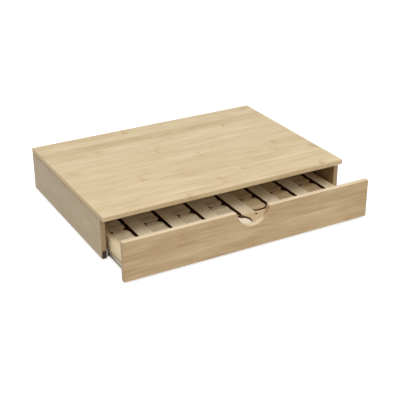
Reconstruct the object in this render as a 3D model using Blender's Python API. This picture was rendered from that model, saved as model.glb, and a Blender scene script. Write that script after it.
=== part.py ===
"""A bamboo drawer unit that keeps coffee capsules lying on their sides.

Run it in Blender 4.5: blender --background --python part.py

A flat case (top, two sides and a back) stands on thin rubber feet. A shallow drawer
runs in it on two ball slides. In the drawer, seat strips carry the capsules, and the
open slot beside each strip takes their rims. Units are metres, +Z is up and the drawer
opens towards -Y. The origin is on the ground, in the middle of the unit as it stands
here, with the drawer partly open.
"""

import math

import bmesh
import bpy
from mathutils import Matrix, Vector

# The case
CASE_WIDTH = 0.400
CASE_DEPTH = 0.280
CASE_HEIGHT = 0.072
TOP_THICKNESS = 0.008
SIDE_THICKNESS = 0.008
BACK_THICKNESS = 0.008
FOOT_HEIGHT = 0.003
FOOT_LENGTH = 0.024
FOOT_INSET = 0.012
FOOT_MARGIN = 0.0008
FOOT_SETBACK = 0.003
SIDE_CORNER_RADIUS = 0.0015

# The rubber bumpers that the drawer's front closes against
BUMPER_THICKNESS = 0.0012
BUMPER_HEIGHT = 0.0115
BUMPER_LIFT = 0.0005

# The drawer
REST_OPENING = 0.0645
FRONT_THICKNESS = 0.008
FRONT_TOP_CLEARANCE = 0.0005
FRONT_BOTTOM_CLEARANCE = 0.0005
NOTCH_RADIUS = 0.026
NOTCH_DEPTH = 0.0245
NOTCH_LIP_RADIUS = 0.003
SLIDE_SPACE = 0.0056
DRAWER_SIDE_THICKNESS = 0.008
DRAWER_SIDE_HEIGHT = 0.0255
DRAWER_LIFT = 0.003
DRAWER_BACK_THICKNESS = 0.008
DRAWER_BACK_CLEARANCE = 0.0025
BOTTOM_THICKNESS = 0.004
BOTTOM_LIFT = 0.0015
BOTTOM_GROOVE = 0.003

# The capsule rack
COLUMNS = 7
ROW_PITCH = 0.038
SEAT_WIDTH = 0.0257
SLOT_WIDTH = 0.005
END_SLAT_WIDTH = 0.0088
FRONT_MARGIN = 0.0455
LEAST_BACK_MARGIN = 0.013
RACK_THICKNESS = 0.006
SEAT_DROP = 0.0003
SADDLE_RADIUS = 0.030
SADDLE_DEPTH = 0.0011
SEAT_SMALL_RADIUS = 0.007
SEAT_LARGE_RADIUS = 0.010
PARTING_WIDTH = 0.0012
PARTING_DEPTH = 0.0015
BEARER_WIDTH = 0.022
BEARER_BITE = 0.006
TONGUE_ANGLE = 25.0
SMALL_STEPS = 4
LARGE_STEPS = 5

# The round finger recess in the rack, behind the notch
RECESS_RADIUS = 0.0155
RECESS_DEPTH = 0.0032
RECESS_SETBACK = 0.02425

# The ball slides
FULL_TRAVEL = 0.160
RAIL_SETBACK = 0.002
RAIL_BACK_CLEARANCE = 0.0105
RAIL_SHEET = 0.0007
INNER_RAIL_HEIGHT = 0.007
INNER_RAIL_DEPTH = 0.0028
BALL_DIAMETER = 0.0018
BALL_PLAY = 0.0001
BALL_PITCH = 0.016
BALL_INSET = 0.0019
CAGE_SHEET = 0.0004
CAGE_PLAY = 0.0004
OUTER_LIP = 0.0041
STOP_HEIGHT = 0.0045
SLIDE_LIFT = 0.00665

# What separates pieces that touch, and how far edges are rounded
GAP = 0.0003
BOARD_ROUNDING = 0.0012
THIN_ROUNDING = 0.0006
FINE_ROUNDING = 0.0004

# Heights, from the ground up
Z_SIDE_BOTTOM = FOOT_HEIGHT
Z_UNDER_TOP = CASE_HEIGHT - TOP_THICKNESS
Z_FRONT_BOTTOM = Z_SIDE_BOTTOM + FRONT_BOTTOM_CLEARANCE
Z_FRONT_TOP = Z_UNDER_TOP - FRONT_TOP_CLEARANCE
Z_DRAWER_BOTTOM = Z_SIDE_BOTTOM + DRAWER_LIFT
Z_RACK_TOP = Z_DRAWER_BOTTOM + DRAWER_SIDE_HEIGHT
Z_RACK_BOTTOM = Z_RACK_TOP - RACK_THICKNESS
Z_PANEL_BOTTOM = Z_DRAWER_BOTTOM + BOTTOM_LIFT
Z_PANEL_TOP = Z_PANEL_BOTTOM + BOTTOM_THICKNESS
Z_SLIDE = Z_SIDE_BOTTOM + SLIDE_LIFT

# Places from front to back, with the drawer as far open as it stands here
Y_FRONT = -(CASE_DEPTH + REST_OPENING) / 2
Y_TOP_FRONT = Y_FRONT + REST_OPENING
Y_CASE_BACK = Y_TOP_FRONT + CASE_DEPTH
Y_SIDE_FRONT = Y_TOP_FRONT + FRONT_THICKNESS + GAP + BUMPER_THICKNESS
Y_BACK_INSIDE = Y_CASE_BACK - BACK_THICKNESS
Y_FRONT_BACK = Y_FRONT + FRONT_THICKNESS
Y_DRAWER_END = Y_BACK_INSIDE - DRAWER_BACK_CLEARANCE - REST_OPENING
Y_DRAWER_BACK = Y_DRAWER_END - DRAWER_BACK_THICKNESS
Y_ROWS_FRONT = Y_FRONT_BACK + FRONT_MARGIN
Y_RECESS = Y_FRONT_BACK + RECESS_SETBACK
# As many rows of seats as the drawer has room for
ROWS = int((Y_DRAWER_BACK - LEAST_BACK_MARGIN - Y_ROWS_FRONT) / ROW_PITCH)
Y_ROWS_BACK = Y_ROWS_FRONT + ROWS * ROW_PITCH
Y_CABINET_RAIL = Y_SIDE_FRONT + RAIL_SETBACK
Y_DRAWER_RAIL = Y_CABINET_RAIL - REST_OPENING
RAIL_LENGTH = Y_BACK_INSIDE - RAIL_BACK_CLEARANCE - Y_CABINET_RAIL
# With the drawer right out, the rails' stop tabs hold the ball cage between them
CAGE_LENGTH = RAIL_LENGTH - FULL_TRAVEL - 2 * (RAIL_SHEET + 2 * GAP)

# Places from the middle outwards
X_INSIDE = CASE_WIDTH / 2 - SIDE_THICKNESS
X_DRAWER = X_INSIDE - SLIDE_SPACE
X_RACK = X_DRAWER - DRAWER_SIDE_THICKNESS
SLAT_WIDTH = (2 * X_RACK - COLUMNS * (SEAT_WIDTH + SLOT_WIDTH) - END_SLAT_WIDTH) / (COLUMNS - 1)
COLUMN_PITCH = SEAT_WIDTH + SLOT_WIDTH + SLAT_WIDTH


def clear_scene():
    """Remove whatever the scene holds."""
    for obj in list(bpy.data.objects):
        bpy.data.objects.remove(obj, do_unlink=True)


def make_material(name, color, roughness, metallic=0.0):
    """A plain surface: colour, roughness and metallic value."""
    material = bpy.data.materials.new(name)
    material.use_nodes = True
    surface = material.node_tree.nodes["Principled BSDF"]
    surface.inputs["Base Color"].default_value = (*color, 1.0)
    surface.inputs["Roughness"].default_value = roughness
    surface.inputs["Metallic"].default_value = metallic
    material.diffuse_color = (*color, 1.0)
    return material


def add_object(name, shape, place, material, parent=None):
    """Turn a bmesh into a named object at a place in the world."""
    bmesh.ops.recalc_face_normals(shape, faces=shape.faces)
    mesh = bpy.data.meshes.new(name)
    shape.to_mesh(mesh)
    shape.free()
    return add_mesh(name, mesh, place, material, parent)


def add_mesh(name, mesh, place, material, parent=None):
    """Link an object that uses this mesh, at a place in the world."""
    obj = bpy.data.objects.new(name, mesh)
    bpy.context.collection.objects.link(obj)
    if material.name not in mesh.materials:
        mesh.materials.append(material)
    obj.location = Vector(place)
    if parent is not None:
        obj.parent = parent
        obj.location = Vector(place) - parent.location
    return obj


def round_edges(obj, width, segments=2):
    """Round every sharp edge with a Bevel modifier."""
    bevel = obj.modifiers.new("rounded_edges", "BEVEL")
    bevel.width = width
    bevel.segments = segments
    bevel.limit_method = "ANGLE"
    bevel.angle_limit = math.radians(40)
    obj.data.shade_smooth()
    obj.data.set_sharp_from_angle(angle=math.radians(35))


def board(name, low, high, rounding, material, parent=None):
    """A straight board between two corners, with rounded edges."""
    low = Vector(low)
    high = Vector(high)
    shape = bmesh.new()
    bmesh.ops.create_cube(shape, size=1.0)
    bmesh.ops.scale(shape, vec=high - low, verts=shape.verts)
    obj = add_object(name, shape, (low + high) / 2, material, parent)
    round_edges(obj, rounding)
    return obj


def extruded(outline, height, turn=None):
    """A plate: an outline in the XY plane, drawn up by its height, then turned."""
    shape = bmesh.new()
    face = shape.faces.new([shape.verts.new((x, y, 0)) for x, y in outline])
    drawn = bmesh.ops.extrude_face_region(shape, geom=[face])
    moved = [item for item in drawn["geom"] if isinstance(item, bmesh.types.BMVert)]
    bmesh.ops.translate(shape, vec=(0, 0, height), verts=moved)
    if turn is not None:
        bmesh.ops.transform(shape, matrix=turn, verts=shape.verts)
    return shape


def arc(center, radius, start, end, steps):
    """Points along an arc from one angle to another, in degrees, with both ends."""
    points = []
    for step in range(steps + 1):
        angle = math.radians(start + (end - start) * step / steps)
        points.append((center[0] + radius * math.cos(angle), center[1] + radius * math.sin(angle)))
    return points


def combine(obj, other, operation):
    """Join an object with another one, or cut it with one, which is then hidden."""
    other.hide_render = True
    other.display_type = "WIRE"
    change = obj.modifiers.new(other.name, "BOOLEAN")
    change.operation = operation
    change.solver = "EXACT"
    change.object = other


def finished_mesh(obj, name):
    """The mesh that an object's modifiers make, for copies that share it."""
    graph = bpy.context.evaluated_depsgraph_get()
    mesh = bpy.data.meshes.new_from_object(obj.evaluated_get(graph))
    mesh.name = name
    return mesh


# An outline (x, z) stood upright, so that it is drawn along Y
UPRIGHT = Matrix.Rotation(math.radians(90), 4, "X")


def make_case(bamboo, rubber):
    """The top, the two sides, the back, the feet and the front bumpers."""
    half = CASE_WIDTH / 2
    board(
        "top_panel",
        (-half, Y_TOP_FRONT, Z_UNDER_TOP),
        (half, Y_CASE_BACK, CASE_HEIGHT),
        BOARD_ROUNDING,
        bamboo,
    )
    side_depth = Y_CASE_BACK - Y_SIDE_FRONT
    side_height = Z_UNDER_TOP - GAP - Z_SIDE_BOTTOM
    corner = SIDE_CORNER_RADIUS
    outline = arc((corner, corner), corner, 180, 270, 4)
    outline += [(side_depth, 0), (side_depth, side_height), (0, side_height)]
    stand = Matrix.Rotation(math.radians(90), 4, "Z") @ UPRIGHT
    for side, sign in (("left", -1), ("right", 1)):
        shape = extruded(outline, SIDE_THICKNESS, stand)
        outer = sign * half if sign < 0 else X_INSIDE
        obj = add_object(f"{side}_side_panel", shape, (outer, Y_SIDE_FRONT, Z_SIDE_BOTTOM), bamboo)
        round_edges(obj, BOARD_ROUNDING)
    board(
        "back_panel",
        (GAP - X_INSIDE, Y_BACK_INSIDE, Z_SIDE_BOTTOM),
        (X_INSIDE - GAP, Y_CASE_BACK, Z_UNDER_TOP - GAP),
        BOARD_ROUNDING,
        bamboo,
    )
    inner = X_INSIDE + FOOT_MARGIN
    foot_places = {
        "front": Y_SIDE_FRONT + FOOT_INSET,
        "back": Y_CASE_BACK - FOOT_INSET - FOOT_LENGTH,
    }
    for side, sign in (("left", -1), ("right", 1)):
        # The feet are set in from the case's outside, so that only a shadow shows below it
        near, far = sorted((sign * inner, sign * (half - FOOT_SETBACK)))
        for end, foot_y in foot_places.items():
            board(
                f"foot_{end}_{side}",
                (near, foot_y, 0),
                (far, foot_y + FOOT_LENGTH, FOOT_HEIGHT - GAP),
                FINE_ROUNDING,
                rubber,
            )
        near, far = sorted((sign * inner, sign * (half - FOOT_MARGIN)))
        bumper_y = Y_SIDE_FRONT - GAP - BUMPER_THICKNESS
        board(
            f"bumper_{side}",
            (near, bumper_y + GAP, Z_SIDE_BOTTOM + BUMPER_LIFT),
            (far, Y_SIDE_FRONT - GAP, Z_SIDE_BOTTOM + BUMPER_LIFT + BUMPER_HEIGHT),
            FINE_ROUNDING,
            rubber,
        )


def front_outline():
    """The drawer front seen from the front: a plain board with a half-round notch."""
    half = CASE_WIDTH / 2
    height = Z_FRONT_TOP - Z_FRONT_BOTTOM
    center = height - NOTCH_DEPTH + NOTCH_RADIUS
    lip = NOTCH_LIP_RADIUS
    rise = center - (height - lip)
    lip_x = math.sqrt((NOTCH_RADIUS + lip) ** 2 - rise**2)
    tilt = math.degrees(math.atan2(rise, lip_x))
    outline = [(-half, 0), (half, 0), (half, height)]
    outline += arc((lip_x, height - lip), lip, 90, 180 - tilt, 6)
    outline += arc((0, center), NOTCH_RADIUS, -tilt, tilt - 180, 28)[1:-1]
    outline += arc((-lip_x, height - lip), lip, tilt, 90, 6)
    outline.append((-half, height))
    return outline


def make_drawer_box(bamboo, front_bamboo, drawer):
    """The drawer's front, sides, back and bottom."""
    shape = extruded(front_outline(), FRONT_THICKNESS, UPRIGHT)
    place = (0, Y_FRONT_BACK, Z_FRONT_BOTTOM)
    front = add_object("drawer_front", shape, place, front_bamboo, drawer)
    round_edges(front, BOARD_ROUNDING)

    thick = DRAWER_SIDE_THICKNESS
    groove_low = Z_PANEL_BOTTOM - GAP - Z_DRAWER_BOTTOM
    groove_high = Z_PANEL_TOP + GAP - Z_DRAWER_BOTTOM
    groove_bottom = thick - BOTTOM_GROOVE
    section = [
        (0, 0),
        (thick, 0),
        (thick, groove_low),
        (groove_bottom, groove_low),
        (groove_bottom, groove_high),
        (thick, groove_high),
        (thick, DRAWER_SIDE_HEIGHT),
        (0, DRAWER_SIDE_HEIGHT),
    ]
    length = Y_DRAWER_END - Y_FRONT_BACK - GAP
    for side, sign in (("left", 1), ("right", -1)):
        outline = [(sign * x, z) for x, z in section]
        shape = extruded(outline, length, UPRIGHT)
        place = (-sign * X_DRAWER, Y_DRAWER_END, Z_DRAWER_BOTTOM)
        obj = add_object(f"drawer_side_{side}", shape, place, bamboo, drawer)
        round_edges(obj, min(THIN_ROUNDING, groove_low / 3))
    board(
        "drawer_back",
        (GAP - X_RACK, Y_DRAWER_BACK, Z_PANEL_TOP + GAP),
        (X_RACK - GAP, Y_DRAWER_END, Z_RACK_TOP),
        THIN_ROUNDING,
        bamboo,
        drawer,
    )
    reach = X_RACK + BOTTOM_GROOVE - GAP
    board(
        "drawer_bottom",
        (-reach, Y_FRONT_BACK + GAP, Z_PANEL_BOTTOM),
        (reach, Y_DRAWER_END, Z_PANEL_TOP),
        FINE_ROUNDING,
        bamboo,
        drawer,
    )
    # The front and back bearers carry the ends of the seat strips as well as a rack rail
    middle = (Y_ROWS_FRONT + Y_ROWS_BACK) / 2
    bearer_places = {
        "front": (Y_ROWS_FRONT + BEARER_BITE - BEARER_WIDTH, Y_ROWS_FRONT + BEARER_BITE),
        "middle": (middle - BEARER_WIDTH / 2, middle + BEARER_WIDTH / 2),
        "back": (Y_ROWS_BACK - BEARER_BITE, Y_DRAWER_BACK - GAP),
    }
    for name, (near, far) in bearer_places.items():
        board(
            f"rack_bearer_{name}",
            (GAP - X_RACK, near, Z_PANEL_TOP + GAP),
            (X_RACK - GAP, far, Z_RACK_BOTTOM - GAP),
            FINE_ROUNDING,
            bamboo,
            drawer,
        )


def seat_outline():
    """A strip of seats from above: small round corners at the left, large at the slot."""
    small = SEAT_SMALL_RADIUS
    large = SEAT_LARGE_RADIUS
    left = GAP
    width = SEAT_WIDTH
    length = ROWS * ROW_PITCH
    part = PARTING_WIDTH / 2
    outline = arc((left + small, small), small, 180, 270, SMALL_STEPS)
    outline += arc((width - large, large), large, 270, 360, LARGE_STEPS)
    for row in range(1, ROWS):
        y = row * ROW_PITCH
        outline += arc((width - large, y - part - large), large, 0, 90, LARGE_STEPS)
        outline += arc((width - large, y + part + large), large, 270, 360, LARGE_STEPS)
    outline += arc((width - large, length - large), large, 0, 90, LARGE_STEPS)
    outline += arc((left + small, length - small), small, 90, 180, SMALL_STEPS)
    for row in range(ROWS - 1, 0, -1):
        y = row * ROW_PITCH
        outline += arc((left + small, y + part + small), small, 180, 270, SMALL_STEPS)
        outline += arc((left + small, y - part - small), small, 90, 180, SMALL_STEPS)
    return outline


def seat_cutter():
    """What is taken off a strip's top: a saddle for each capsule, and the lines between."""
    top = RACK_THICKNESS - SEAT_DROP
    shape = bmesh.new()
    for row in range(ROWS):
        lay = Matrix.Translation(
            (SEAT_WIDTH / 2, (row + 0.5) * ROW_PITCH, top - SADDLE_DEPTH + SADDLE_RADIUS)
        ) @ Matrix.Rotation(math.radians(90), 4, "Y")
        bmesh.ops.create_cone(
            shape,
            cap_ends=True,
            segments=72,
            radius1=SADDLE_RADIUS,
            radius2=SADDLE_RADIUS,
            depth=2 * SEAT_WIDTH,
            matrix=lay,
        )
    for row in range(1, ROWS):
        spot = Matrix.Translation((SEAT_WIDTH / 2, row * ROW_PITCH, top))
        size = Matrix.Diagonal((2 * SEAT_WIDTH, PARTING_WIDTH, 2 * PARTING_DEPTH, 1))
        bmesh.ops.create_cube(shape, size=1.0, matrix=spot @ size)
    return shape


def ease_top(shape, width):
    """Take a small chamfer off the edges round an extruded plate's top face."""
    top = max(vert.co.z for vert in shape.verts)
    edges = [edge for edge in shape.edges if all(abs(v.co.z - top) < 1e-7 for v in edge.verts)]
    bmesh.ops.bevel(shape, geom=edges, offset=width, segments=1, affect="EDGES")


def seat_mesh(material):
    """The finished strip of seats, which every column shares."""
    blank = extruded(seat_outline(), RACK_THICKNESS - SEAT_DROP)
    ease_top(blank, FINE_ROUNDING)
    strip = add_object("seat_blank", blank, (0, 0, 0), material)
    cutter = add_object("seat_cutter", seat_cutter(), (0, 0, 0), material)
    combine(strip, cutter, "DIFFERENCE")
    mesh = finished_mesh(strip, "seat_strip")
    bpy.data.objects.remove(strip, do_unlink=True)
    bpy.data.objects.remove(cutter, do_unlink=True)
    return mesh


def rail_outline(depth, recess=None):
    """A rack rail from above, its plain edge at y = 0 and its shaped edge at y = depth.

    A tongue at each column closes the slot's end and leads its edge round the last seat.
    A slot that meets the finger recess, whose middle is at y = recess, runs on into it.
    """
    outer = SEAT_LARGE_RADIUS + SLOT_WIDTH
    edge = X_RACK - GAP
    outline = [(-edge, 0), (edge, 0), (edge, depth)]
    for column in range(COLUMNS - 1, -1, -1):
        seat_left = column * COLUMN_PITCH - X_RACK
        slot_left = seat_left + SEAT_WIDTH
        slot_right = slot_left + SLOT_WIDTH
        if recess is not None and max(-slot_left, slot_right) < RECESS_RADIUS:
            reach = recess + math.sqrt(RECESS_RADIUS**2 - max(-slot_left, slot_right) ** 2)
            outline += [(slot_right, depth), (slot_right, reach)]
            outline += [(slot_left, reach), (slot_left, depth)]
            continue
        center = (slot_right - outer, depth + outer)
        sweep = arc(center, outer, -TONGUE_ANGLE, -90, 6)
        outline.append((slot_right - GAP, depth))
        outline.append((slot_right - GAP, sweep[0][1]))
        outline += sweep
    outline.append((-edge, depth))
    return outline


def cut_recess(rail, material, drawer):
    """Sink the finger recess into the rack's front rail."""
    disc = bmesh.new()
    bmesh.ops.create_cone(
        disc,
        cap_ends=True,
        segments=64,
        radius1=RECESS_RADIUS,
        radius2=RECESS_RADIUS,
        depth=2 * RECESS_DEPTH,
    )
    cutter = add_object("recess_cutter", disc, (0, Y_RECESS, Z_RACK_TOP), material, drawer)
    combine(rail, cutter, "DIFFERENCE")


def make_rack(bamboo, seat_bamboo, drawer):
    """The rack that carries the capsules: two rails, slats and seat strips."""
    # The slots run on round the front and back ends of the seat strips, just as wide
    front_depth = FRONT_MARGIN - SLOT_WIDTH - GAP
    outline = rail_outline(front_depth, Y_RECESS - Y_FRONT_BACK - GAP)
    place = (0, Y_FRONT_BACK + GAP, Z_RACK_BOTTOM)
    obj = add_object("rack_rail_front", extruded(outline, RACK_THICKNESS), place, bamboo, drawer)
    round_edges(obj, FINE_ROUNDING, 1)
    cut_recess(obj, bamboo, drawer)

    back_depth = Y_DRAWER_BACK - GAP - Y_ROWS_BACK - SLOT_WIDTH
    flipped = [(x, -y) for x, y in rail_outline(back_depth)]
    place = (0, Y_DRAWER_BACK - GAP, Z_RACK_BOTTOM)
    obj = add_object("rack_rail_back", extruded(flipped, RACK_THICKNESS), place, bamboo, drawer)
    round_edges(obj, FINE_ROUNDING, 1)

    slat_front = Y_ROWS_FRONT - SLOT_WIDTH + GAP
    slat_back = Y_ROWS_BACK + SLOT_WIDTH - GAP
    strip = seat_mesh(seat_bamboo)
    for column in range(COLUMNS):
        seat_left = column * COLUMN_PITCH - X_RACK
        place = (seat_left, Y_ROWS_FRONT, Z_RACK_BOTTOM)
        add_mesh(f"seat_strip_{column + 1}", strip, place, seat_bamboo, drawer)
        slat_left = seat_left + SEAT_WIDTH + SLOT_WIDTH
        slat_right = min(slat_left + SLAT_WIDTH, X_RACK - GAP)
        board(
            f"rack_slat_{column + 1}",
            (slat_left, slat_front, Z_RACK_BOTTOM),
            (slat_right, slat_back, Z_RACK_TOP),
            FINE_ROUNDING,
            bamboo,
            drawer,
        )


def channel(back, reach, half_height, sheet):
    """A C-shaped section of folded sheet: x from its back to its reach, z about zero."""
    turn = math.copysign(sheet, reach - back)
    return [
        (back, -half_height),
        (reach, -half_height),
        (reach, sheet - half_height),
        (back + turn, sheet - half_height),
        (back + turn, half_height - sheet),
        (reach, half_height - sheet),
        (reach, half_height),
        (back, half_height),
    ]


def cage_shape(sign):
    """A ball cage: a thin folded strip with its two rows of balls set in its lips."""
    ball = BALL_DIAMETER / 2
    ball_z = INNER_RAIL_HEIGHT / 2 + BALL_PLAY + ball
    back = GAP + INNER_RAIL_DEPTH + CAGE_PLAY + CAGE_SHEET
    section = channel(back, BALL_INSET - ball / 2, ball_z + CAGE_SHEET / 2, CAGE_SHEET)
    outline = [(sign * x, z) for x, z in section]
    strip = extruded(outline, CAGE_LENGTH, UPRIGHT)
    count = int((CAGE_LENGTH - BALL_PITCH / 2) / BALL_PITCH) + 1
    first = -(CAGE_LENGTH + (count - 1) * BALL_PITCH) / 2
    balls = bmesh.new()
    for level in (-ball_z, ball_z):
        for number in range(count):
            spot = Matrix.Translation((sign * BALL_INSET, first + number * BALL_PITCH, level))
            bmesh.ops.create_icosphere(balls, subdivisions=2, radius=ball, matrix=spot)
    return strip, balls


def fold_stop(rail, web, tip, end):
    """Fold a tab out of a rail's web at one end, for the ball cage to run against."""
    tab = bmesh.new()
    spot = Matrix.Translation(((web + tip) / 2, end, 0))
    size = Matrix.Diagonal((abs(tip - web), RAIL_SHEET, STOP_HEIGHT, 1))
    bmesh.ops.create_cube(tab, size=1.0, matrix=spot @ size)
    place = rail.location if rail.parent is None else rail.location + rail.parent.location
    stop = add_object(f"{rail.name}_stop", tab, place, rail.data.materials[0], rail.parent)
    combine(rail, stop, "UNION")


def make_slides(steel, zinc, drawer, cages):
    """Two ball slides: a rail on the case, a rail on the drawer, a ball cage between."""
    ball_z = INNER_RAIL_HEIGHT / 2 + BALL_PLAY + BALL_DIAMETER / 2
    outer_half = ball_z + BALL_DIAMETER / 2 + BALL_PLAY + RAIL_SHEET
    outer_back = SLIDE_SPACE - GAP
    inner_web = GAP + RAIL_SHEET / 2
    outer_web = outer_back - RAIL_SHEET / 2
    tab_set = GAP + RAIL_SHEET / 2
    # Closed, the cage lies in the middle of the rails, and it moves half as far as the drawer
    cage_end = Y_CABINET_RAIL + (RAIL_LENGTH + CAGE_LENGTH) / 2 - REST_OPENING / 2
    for side, sign in (("left", -1), ("right", 1)):
        face = sign * X_DRAWER
        section = channel(GAP, GAP + INNER_RAIL_DEPTH, INNER_RAIL_HEIGHT / 2, RAIL_SHEET)
        shape = extruded([(sign * x, z) for x, z in section], RAIL_LENGTH, UPRIGHT)
        place = (face, Y_DRAWER_RAIL + RAIL_LENGTH, Z_SLIDE)
        rail = add_object(f"drawer_rail_{side}", shape, place, steel, drawer)
        fold_stop(rail, sign * inner_web, sign * (outer_web - RAIL_SHEET / 2 - GAP), -tab_set)

        section = channel(outer_back, outer_back - OUTER_LIP, outer_half, RAIL_SHEET)
        shape = extruded([(sign * x, z) for x, z in section], RAIL_LENGTH, UPRIGHT)
        place = (face, Y_CABINET_RAIL + RAIL_LENGTH, Z_SLIDE)
        rail = add_object(f"cabinet_rail_{side}", shape, place, steel)
        fold_stop(rail, sign * outer_web, sign * (2 * GAP + INNER_RAIL_DEPTH), tab_set - RAIL_LENGTH)

        strip, balls = cage_shape(sign)
        place = (face, cage_end, Z_SLIDE)
        cage = add_object(f"ball_cage_{side}", strip, place, zinc, cages[side])
        set_balls = add_object(f"balls_{side}", balls, place, zinc, cages[side])
        combine(cage, set_balls, "UNION")


def make_guide(name, place):
    """An empty that carries the pieces that slide together."""
    guide = bpy.data.objects.new(name, None)
    bpy.context.collection.objects.link(guide)
    guide.location = Vector(place)
    return guide


def main():
    clear_scene()
    case_bamboo = make_material("case_bamboo", (0.72, 0.56, 0.34), 0.45)
    front_bamboo = make_material("front_bamboo", (0.66, 0.49, 0.28), 0.45)
    rack_bamboo = make_material("rack_bamboo", (0.62, 0.50, 0.33), 0.55)
    seat_bamboo = make_material("seat_bamboo", (0.50, 0.38, 0.23), 0.6)
    rubber = make_material("black_rubber", (0.02, 0.02, 0.02), 0.8)
    steel = make_material("rail_steel", (0.55, 0.53, 0.50), 0.35, 1.0)
    zinc = make_material("cage_zinc", (0.62, 0.62, 0.60), 0.3, 1.0)

    drawer = make_guide("drawer_guide", (0, Y_FRONT, Z_SLIDE))
    cages = {
        "left": make_guide("cage_guide_left", (-X_DRAWER, Y_FRONT, Z_SLIDE)),
        "right": make_guide("cage_guide_right", (X_DRAWER, Y_FRONT, Z_SLIDE)),
    }
    make_case(case_bamboo, rubber)
    make_drawer_box(rack_bamboo, front_bamboo, drawer)
    make_rack(rack_bamboo, seat_bamboo, drawer)
    make_slides(steel, zinc, drawer, cages)


main()
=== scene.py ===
# %% [markdown]
# A coffee capsule drawer: a flat bamboo case with one shallow drawer, and a rack of seats
# in the drawer. The boards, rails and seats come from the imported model, which stays where
# it is. This lesson gives every surface its finish: laminated bamboo with its strips,
# fibres and knuckles, folded zinc-plated rails and black rubber. It adds the small
# fasteners and sets up the floor, the light and the camera.

# %% Load the frame
import math

import bmesh
import bpy
from mathutils import Matrix, Vector


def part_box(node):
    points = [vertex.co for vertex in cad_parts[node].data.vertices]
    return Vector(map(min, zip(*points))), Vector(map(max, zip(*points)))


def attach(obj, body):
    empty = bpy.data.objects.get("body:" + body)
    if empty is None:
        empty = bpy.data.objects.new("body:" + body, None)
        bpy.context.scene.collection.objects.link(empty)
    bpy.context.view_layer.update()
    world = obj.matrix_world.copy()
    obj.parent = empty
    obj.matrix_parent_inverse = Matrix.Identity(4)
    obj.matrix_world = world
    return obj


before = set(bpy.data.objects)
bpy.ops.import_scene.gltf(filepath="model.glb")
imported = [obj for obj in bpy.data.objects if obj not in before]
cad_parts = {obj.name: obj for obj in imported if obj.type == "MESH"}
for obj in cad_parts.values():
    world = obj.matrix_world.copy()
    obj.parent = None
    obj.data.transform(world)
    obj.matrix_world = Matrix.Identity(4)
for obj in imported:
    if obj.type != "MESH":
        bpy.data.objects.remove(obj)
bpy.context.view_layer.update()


print("solids in the frame:", len(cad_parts))

# %% [markdown]
# The camera comes first, because every later choice is judged through it. It stands in
# front of the unit, to the left of it and above it. It could be aimed with a constraint,
# but turning the three axes by hand keeps the small roll that a hand-held shot has.

# %% Camera
CAMERA_PLACE = Vector((-0.6090, -1.12905, 0.6280))
CAMERA_AZIMUTH = math.radians(-28.704)
CAMERA_TILT = math.radians(25.904)
CAMERA_ROLL = math.radians(-0.344)
CAMERA_LENS = 82.08
SENSOR_WIDTH = 36


def place_in_scene(name, data):
    """An object that holds this data, linked to the scene."""
    obj = bpy.data.objects.new(name, data)
    bpy.context.scene.collection.objects.link(obj)
    return obj


def camera_turn():
    """The camera's three axes as a matrix, from its azimuth, its tilt and its roll."""
    level = math.cos(CAMERA_TILT)
    ahead = Vector((
        -math.sin(CAMERA_AZIMUTH) * level,
        math.cos(CAMERA_AZIMUTH) * level,
        -math.sin(CAMERA_TILT),
    ))
    right = Vector((math.cos(CAMERA_AZIMUTH), math.sin(CAMERA_AZIMUTH), 0))
    above = right.cross(ahead)
    across = math.cos(CAMERA_ROLL) * right + math.sin(CAMERA_ROLL) * above
    upward = math.cos(CAMERA_ROLL) * above - math.sin(CAMERA_ROLL) * right
    return Matrix((across, upward, -ahead)).transposed().to_4x4()


lens = bpy.data.cameras.new("camera")
lens.lens = CAMERA_LENS
lens.sensor_width = SENSOR_WIDTH
camera = place_in_scene("camera", lens)
camera.matrix_world = Matrix.Translation(CAMERA_PLACE) @ camera_turn()
bpy.context.scene.camera = camera
print("camera:", [round(value, 3) for value in CAMERA_PLACE], "lens", CAMERA_LENS, "mm")

# %% [markdown]
# Shader trees are easier to read when adding a node takes one line. These helpers add a
# node, set its own fields, and give each input either a value or a link. Sums, products
# and soft steps come up in every pattern, so each has a short name of its own.

# %% Helpers: nodes and arithmetic
NODE_STEP = 220


def feed(tree, socket, value):
    """Give an input a value, or a link where the value is itself a socket."""
    if isinstance(value, bpy.types.NodeSocket):
        tree.links.new(value, socket)
    else:
        socket.default_value = value


def add(tree, kind, inputs=None, **fields):
    """Add a node. Its inputs are named, or numbered from 0, and its fields are set first."""
    made = tree.nodes.new(kind)
    made.location = (NODE_STEP * len(tree.nodes), 0)
    for name, value in fields.items():
        setattr(made, name, value)
    for name, value in (inputs or {}).items():
        feed(tree, made.inputs[name], value)
    return made


def calc(tree, operation, *values):
    """One step of arithmetic."""
    return add(tree, "ShaderNodeMath", dict(enumerate(values)), operation=operation).outputs[0]


def total(tree, first, *others):
    """The sum of several values."""
    for value in others:
        first = calc(tree, "ADD", first, value)
    return first


def product(tree, first, *others):
    """Several values multiplied."""
    for value in others:
        first = calc(tree, "MULTIPLY", first, value)
    return first


def weighted(tree, *pairs):
    """The sum of several values, each multiplied by its own weight."""
    return total(tree, *[product(tree, value, weight) for value, weight in pairs])


def centred(tree, value):
    """Move a value that runs from 0 to 1, so that its middle is at 0."""
    return calc(tree, "SUBTRACT", value, 0.5)


def ramp(tree, value, low, high, start=0.0, end=1.0):
    """Spread a value that runs from low to high over start to end, with soft ends."""
    inputs = {"Value": value, "From Min": low, "From Max": high, "To Min": start, "To Max": end}
    made = add(tree, "ShaderNodeMapRange", inputs, interpolation_type="SMOOTHSTEP")
    return made.outputs["Result"]


def fade(tree, value, low, high):
    """The ramp turned round: 1 up to low, and 0 from high on."""
    return ramp(tree, value, low, high, 1.0, 0.0)


print("arithmetic ready")

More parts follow.
